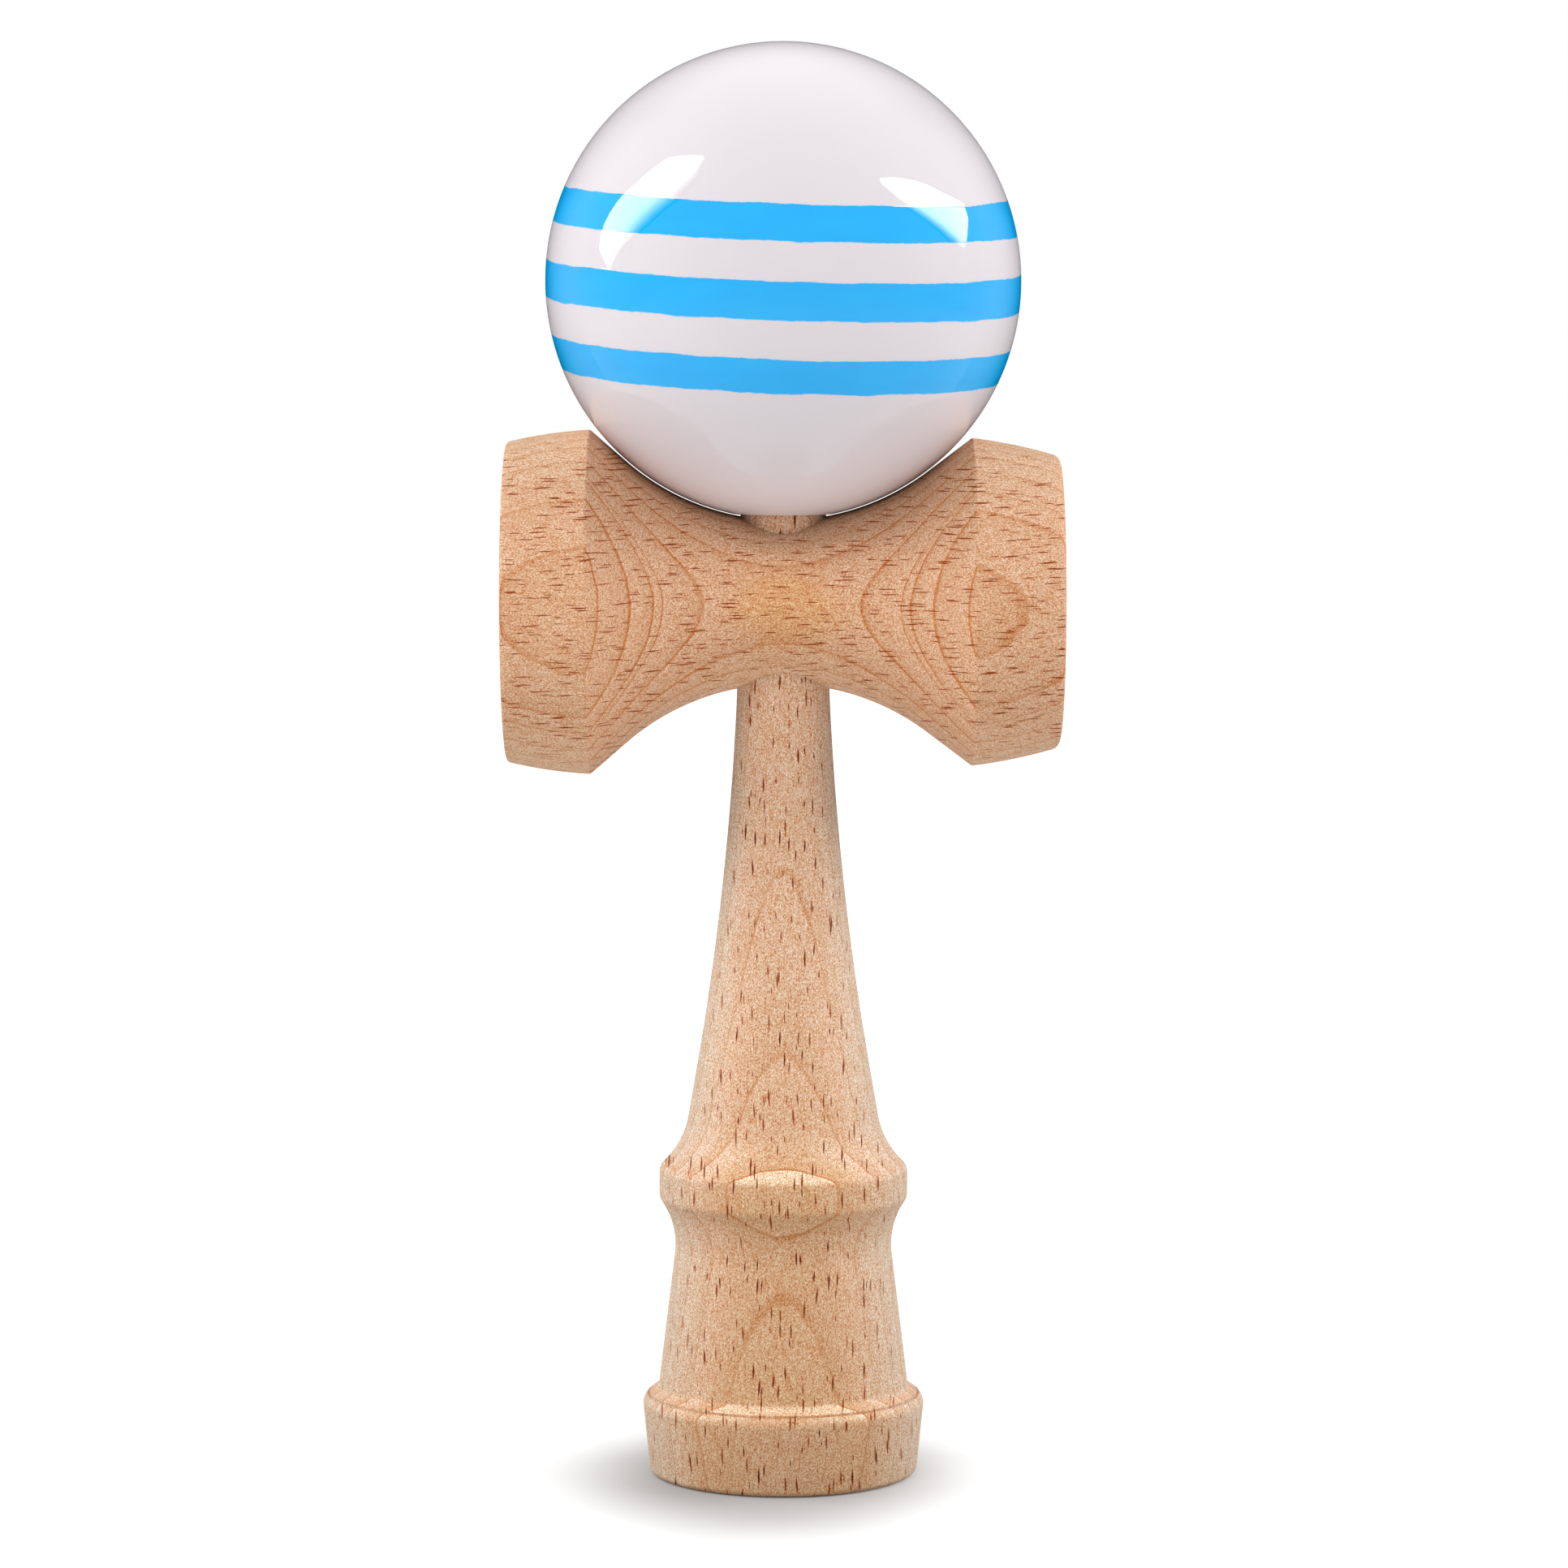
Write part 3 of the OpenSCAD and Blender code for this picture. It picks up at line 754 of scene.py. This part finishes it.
crosspiece = turned(
    "turned_crosspiece", crosspiece_outline(), CROSSPIECE_SEGMENTS, axis="x", height=CROSSPIECE_Z,
)
bore_reach = SEAT_REACH + OVERSHOOT
bore_low, bore_high = (seat_r(rise) + SEAT_CLEARANCE for rise in (-bore_reach, bore_reach))
bore = pin(bore_low, bore_high, -bore_reach, bore_reach)
drill(crosspiece, turned("bore_bit", bore + [0, CROSSPIECE_Z], BORE_SEGMENTS))
cord_hole = np.array([
    [0, 0],
    [CORD_HOLE_R, 0],
    [CORD_HOLE_R, WAIST_R - CORD_HOLE_BEVEL],
    [CORD_HOLE_R + CORD_HOLE_BEVEL + OVERSHOOT, WAIST_R + OVERSHOOT],
    [0, WAIST_R + OVERSHOOT],
])
drill(crosspiece, turned("cord_hole_bit", cord_hole, CORD_SEGMENTS, axis="y", height=CROSSPIECE_Z))

ball_outside, ball_inside = ball_outlines()
ball_loop = np.concatenate([ball_outside, ball_inside[1:-1]])
ball = turned("lacquered_ball", ball_loop, BALL_SEGMENTS, loop=True)

for piece, node, slot, finishes in (
    (handle, "handle", "handle_wood", [handle_wood]),
    (crosspiece, "crosspiece", "crosspiece_wood", [crosspiece_wood]),
    (ball, "ball", "ball_lacquer", [ball_lacquer, ball_core]),
):
    piece.data.materials.clear()
    for finish in finishes:
        piece.data.materials.append(finish)
    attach(piece, node)
    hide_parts(node)

# Past the lacquered rings the core is bare
ring_of_face = np.arange(len(ball.data.polygons)) // BALL_SEGMENTS
bare = ring_of_face > len(ball_outside) + LACQUERED_RINGS
ball.data.polygons.foreach_set("material_index", bare.astype(np.int32))

# Floor and background, in metres

FLOOR_HALF = 6.0
FLOOR_DROP = 0.00005

# The painted shade under the toy, in millimetres, and the whiteness in its middle and at its edge
SHADE_CENTRE = (-2.6, -5.2)
SHADE_SPREAD = 1.5
SHADE_NEAR, SHADE_FAR, WHITE_FROM = 14.0, 47.0, 300.0
SHADE_DARKEST, SHADE_PALE = 0.045, 0.68
PAPER_COLOUR, PAPER_ROUGHNESS = rgb(0.4, 0.4, 0.4), 0.9

# Strength of the room's light on the toy, and of the white that shows behind it
ROOM_LIGHT = 0.24
SHOWN_WHITE = 1.0


def lit_background(tree, plain, seen):
    """The strength seen for camera, glossy and transmission rays, and plain for all others."""
    path = tree.nodes.new("ShaderNodeLightPath")
    shown = path.outputs["Is Camera Ray"]
    for ray in ("Is Glossy Ray", "Is Transmission Ray"):
        either = tree.nodes.new("ShaderNodeMath")
        either.operation = "MAXIMUM"
        tree.links.new(shown, either.inputs[0])
        tree.links.new(path.outputs[ray], either.inputs[1])
        shown = either.outputs[0]
    strength = tree.nodes.new("ShaderNodeMapRange")
    strength.inputs["To Min"].default_value = plain
    strength.inputs["To Max"].default_value = seen
    tree.links.new(shown, strength.inputs["Value"])
    return strength.outputs["Result"]


def white_paper():
    """Paper that shows as white, apart from an oval of painted shade under the toy, where its glow is
    dimmed on top of the real shadow: its whiteness is a smooth step of the distance from the middle of
    the shade, and a second, wider one on top."""
    f = Finish("white_paper")
    object_at = f.node("ShaderNodeTexCoord").outputs["Object"]
    at = f.stretch(object_at, (PER_METRE * SHADE_SPREAD, PER_METRE, 0))
    away = f.length(f.shift(at, (-SHADE_CENTRE[0] * SHADE_SPREAD, -SHADE_CENTRE[1], 0)))
    whiteness = f.step(away, SHADE_NEAR, SHADE_FAR, SHADE_DARKEST, SHADE_PALE)
    whiteness = f.add(whiteness, f.step(away, SHADE_FAR, WHITE_FROM, 0.0, 1 - SHADE_PALE))
    f.surface({
        "Base Color": PAPER_COLOUR,
        "Roughness": PAPER_ROUGHNESS,
        "Specular IOR Level": 0.0,
        "Emission Color": WHITE,
        "Emission Strength": f.times(lit_background(f.tree, 0.0, SHOWN_WHITE), whiteness),
    })
    return f.material


def studio_piece(name, points, faces, material, only_reflected=True):
    """A mesh that belongs to the studio and not to the toy. One that is only reflected is hidden from the
    camera and from light that isn't glossy."""
    mesh = bpy.data.meshes.new(name)
    mesh.from_pydata(points, [], faces)
    mesh.materials.append(material)
    made = bpy.data.objects.new(name, mesh)
    bpy.context.scene.collection.objects.link(made)
    if only_reflected:
        made.visible_camera = made.visible_diffuse = False
        made.visible_shadow = made.visible_transmission = False
    return mesh


corners = ((-1, -1), (1, -1), (1, 1), (-1, 1))
floor_points = [(a * FLOOR_HALF, b * FLOOR_HALF, -FLOOR_DROP) for a, b in corners]
studio_piece("studio_floor", floor_points, [(0, 1, 2, 3)], white_paper(), only_reflected=False)

world = bpy.data.worlds.new("studio")
world.use_nodes = True
bpy.context.scene.world = world
background = next(n for n in world.node_tree.nodes if n.type == "BACKGROUND")
background.inputs["Color"].default_value = WHITE
room_light = lit_background(world.node_tree, ROOM_LIGHT, SHOWN_WHITE)
world.node_tree.links.new(room_light, background.inputs["Strength"])

# Light, in metres

BALL_CENTRE = Vector((0, 0, BALL_Z * MM))
SIDEWAYS, FRONT_TO_BACK = (1, 0, 0), (0, 1, 0)
WASH_SIZE, FRONT_SIZE, CARD_SIZE = (0.8, 0.5), (0.5, 0.35), (0.24, 0.14)
CARD_AIM = (0, -0.12, 0.16)

# The glowing panels, with the azimuths and elevations of their edges in degrees
GLEAM_DISTANCE = 2.0
GLEAM_RADIANCE = 17.0
GLEAM_ROWS = 9
LEFT_GLEAM = dict(
    crisp=((-63, 54), (-85, 47), (-93, 34), (-99, 25), (-102, 17), (-101, 10), (-92, 4)),
    faded=((-60, 53), (-54, 44), (-60, 33), (-70, 23), (-77, 16), (-84, 11), (-91, 4)),
    full=0.5,
)
RIGHT_GLEAM = dict(
    crisp=((62, 43), (73, 41), (86, 36), (97, 29), (109, 22), (108, 18), (101, 12)),
    faded=((61, 40), (66, 32), (72, 26), (80, 20), (88, 14), (94, 11), (98, 10)),
    full=0.65,
)

# The dark sheet, whose ends are azimuths in degrees
FLAG_ENDS = (112.0, 248.0)
FLAG_DISTANCE = 0.25
FLAG_HEIGHT = 0.55
FLAG_STEPS = 24
# It is black further back than a share of its distance and up to a share of its height
FLAG_DARK_FROM = 0.93
FLAG_DARK_TO = 0.45


def directions(azimuth, elevation):
    """Unit vectors (sin a cos e, -cos a cos e, sin e) for azimuths a to the right of the camera's side and
    elevations e, in degrees."""
    a, e = np.radians(azimuth), np.radians(elevation)
    return np.stack([np.sin(a) * np.cos(e), -np.cos(a) * np.cos(e), np.sin(e)], 1)


def strips(points, rows):
    """Faces of a grid of points in rows."""
    at = np.arange(len(points)).reshape(rows, -1)
    return np.stack([at[:-1, :-1], at[:-1, 1:], at[1:, 1:], at[1:, :-1]], 2).reshape(-1, 4).tolist()


def gleam_panel(name, crisp, faded, full):
    """A glowing panel that only reflections see. crisp and faded give its two long edges, as they are seen
    from the ball. The point at the share s of the way from crisp to faded is (1 - s) crisp + s faded. It
    glows fully up to the share full and fades out from there."""
    share = np.linspace(0, 1, GLEAM_ROWS)
    edges = np.array(crisp) + share[:, None, None] * (np.array(faded) - np.array(crisp))
    way = directions(*edges.reshape(-1, 2).T)
    reach = GLEAM_DISTANCE / (way @ unit(way.mean(0)))
    points = np.array(BALL_CENTRE) + way * reach[:, None]
    glow = Finish(name)
    across = glow.node("ShaderNodeAttribute", attribute_name="share").outputs["Fac"]
    glow.surface({
        "Base Color": BLACK,
        "Emission Color": WHITE,
        "Emission Strength": glow.step(across, full, 1.0, GLEAM_RADIANCE, 0.0),
    })
    mesh = studio_piece(name, points.tolist(), strips(points, GLEAM_ROWS), glow.material)
    shares = np.repeat(share, len(crisp))
    mesh.attributes.new("share", "FLOAT", "POINT").data.foreach_set("value", shares)


def dark_flag(name):
    """A sheet that only reflections see, black in its middle and as white as the background at its ends
    and top. It stands on the floor in an arc round the toy: the point (s, t) is at the azimuth s and at
    the height t."""
    azimuth = np.linspace(*FLAG_ENDS, FLAG_STEPS + 1)
    foot = directions(azimuth, np.zeros_like(azimuth)) * FLAG_DISTANCE
    points = np.concatenate([foot, foot + [0, 0, FLAG_HEIGHT]])
    cloth = Finish(name)
    _, back, up = cloth.split(cloth.node("ShaderNodeTexCoord").outputs["Object"])
    ends = cloth.step(back, float(foot[0, 1]), FLAG_DARK_FROM * FLAG_DISTANCE, 1.0, 0.0)
    top = cloth.step(up, FLAG_DARK_TO * FLAG_HEIGHT, FLAG_HEIGHT)
    cloth.surface({
        "Base Color": BLACK,
        "Specular IOR Level": 0.0,
        "Emission Color": WHITE,
        "Emission Strength": cloth.larger(ends, top),
    })
    studio_piece(name, points.tolist(), strips(points, 2), cloth.material)


def soft_box(name, at, long_axis, size, radiance, aim=BALL_CENTRE):
    """A flat lamp at a place that faces the point aim, with its longer side along long_axis. Its power is
    the radiance times pi times its area."""
    lamp = bpy.data.lights.new(name, "AREA")
    lamp.shape = "RECTANGLE"
    lamp.size, lamp.size_y = size
    lamp.energy = radiance * math.pi * size[0] * size[1]
    box = bpy.data.objects.new(name, lamp)
    back = (Vector(at) - Vector(aim)).normalized()
    side = Vector(long_axis)
    side = (side - back * side.dot(back)).normalized()
    upright = back.cross(side)
    box.matrix_world = Matrix.LocRotScale(Vector(at), Matrix((side, upright, back)).transposed(), None)
    box.visible_glossy = box.visible_camera = False
    bpy.context.scene.collection.objects.link(box)


gleam_panel("left_gleam", **LEFT_GLEAM)
gleam_panel("right_gleam", **RIGHT_GLEAM)
dark_flag("back_flag")
soft_box("left_wash", (-0.69, -0.02, 0.55), FRONT_TO_BACK, WASH_SIZE, radiance=3.7)
soft_box("right_wash", (0.69, 0.02, 0.55), FRONT_TO_BACK, WASH_SIZE, radiance=4.3)
soft_box("key", (-0.28, -0.49, 0.72), SIDEWAYS, FRONT_SIZE, radiance=4.1)
soft_box("fill", (0.28, -0.49, 0.72), SIDEWAYS, FRONT_SIZE, radiance=1.4)
soft_box("low_card", (0, -0.15, 0.01), SIDEWAYS, CARD_SIZE, radiance=2.1, aim=CARD_AIM)

# Camera, in metres, with its lens and sensor in millimetres

CAMERA_LENS = 123.25
CAMERA_SENSOR = 36.0
CAMERA_AT = (0.00009, -0.68, 0.14426)
CAMERA_AIM = (0.00009, 0, 0.08836)

camera_data = bpy.data.cameras.new("camera")
camera_data.lens = CAMERA_LENS
camera_data.sensor_width = CAMERA_SENSOR
camera = bpy.data.objects.new("camera", camera_data)
camera.location = CAMERA_AT
camera.rotation_mode = "QUATERNION"
camera.rotation_quaternion = (Vector(CAMERA_AIM) - camera.location).to_track_quat("-Z", "Y")
bpy.context.scene.collection.objects.link(camera)
bpy.context.scene.camera = camera
bpy.context.scene.view_settings.view_transform = "Standard"
